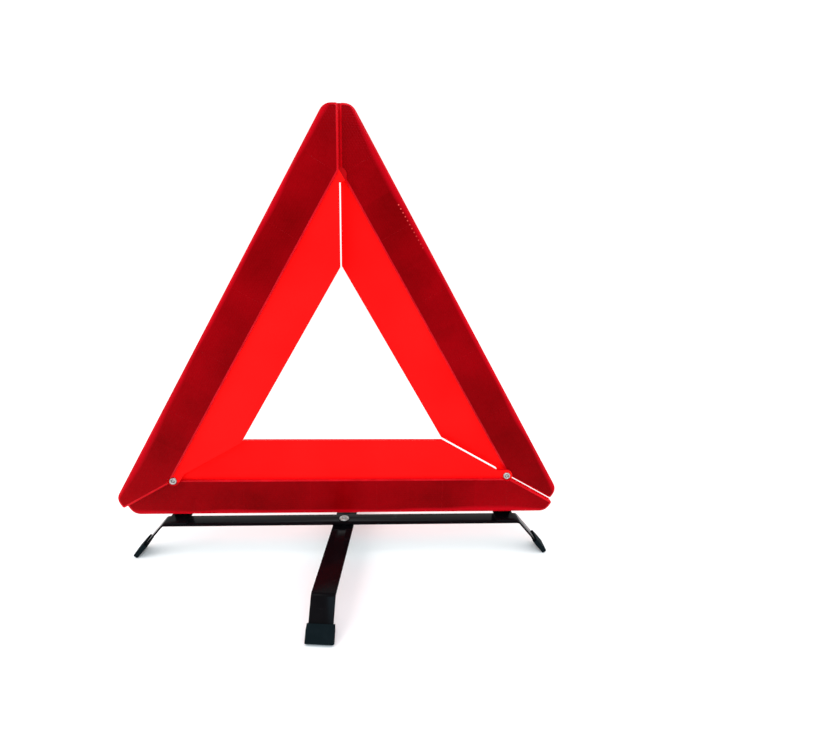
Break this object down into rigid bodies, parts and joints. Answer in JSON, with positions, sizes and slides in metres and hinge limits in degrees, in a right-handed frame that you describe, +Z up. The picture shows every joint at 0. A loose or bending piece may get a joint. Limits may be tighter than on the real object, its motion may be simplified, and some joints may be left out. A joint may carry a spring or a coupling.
{
  "type": "warning triangle",
  "caption": "Folding roadside warning triangle of three hinged red reflector arms on a crossed two-strip steel stand with rubber feet.",
  "frame": {"origin": "on the floor, under the centre rivet of the stand", "axes": "+X to the viewer's right along the bottom arm, +Y away from the viewer who sees the reflectors, +Z up"},
  "size_m": [0.426, 0.2738, 0.4172],
  "materials": {
    "fluorescent_red": "fluorescent red moulded panel, satin gloss",
    "reflector_red": "clear dark red prismatic reflector, polished",
    "black_paint": "glossy black paint on flat steel strip",
    "black_rubber": "matt black moulded rubber",
    "rivet_steel": "zinc plated, slightly dull",
    "spring_steel": "bare spring steel",
    "black_plastic": "plain black moulded tube"
  },
  "bodies": {
    "base": {"bottom_arm_panel": "fluorescent_red", "bottom_arm_reflector": "reflector_red", "left_corner_rivet": "rivet_steel", "right_corner_rivet": "rivet_steel", "left_pivot_washer": "spring_steel", "right_pivot_washer": "spring_steel", "left_rivet_spacer": "black_plastic", "cross_bar": "black_paint", "left_bracket": "black_paint", "right_bracket": "black_paint", "centre_rivet": "rivet_steel", "spring_washer": "spring_steel", "left_foot": "black_rubber", "right_foot": "black_rubber"},
    "left_arm": {"left_arm_panel": "fluorescent_red", "left_arm_reflector": "reflector_red"},
    "right_arm": {"right_arm_panel": "fluorescent_red", "right_arm_reflector": "reflector_red"},
    "leg": {"swivel_leg": "black_paint", "front_foot": "black_rubber", "rear_foot": "black_rubber"}
  },
  "joints": [
    {"name": "left_arm_fold", "type": "hinge", "parent": "base", "child": "left_arm", "pos_m": [-0.16137, 0, 0.0807], "axis": [0, 1, 0], "range_deg": [0, 60]},
    {"name": "right_arm_fold", "type": "hinge", "parent": "base", "child": "right_arm", "pos_m": [0.16137, 0, 0.0807], "axis": [0, -1, 0], "range_deg": [0, 60]},
    {"name": "leg_swivel", "type": "hinge", "parent": "base", "child": "leg", "pos_m": [0, 0, 0.0312], "axis": [0, 0, 1], "continuous": true}
  ]
}
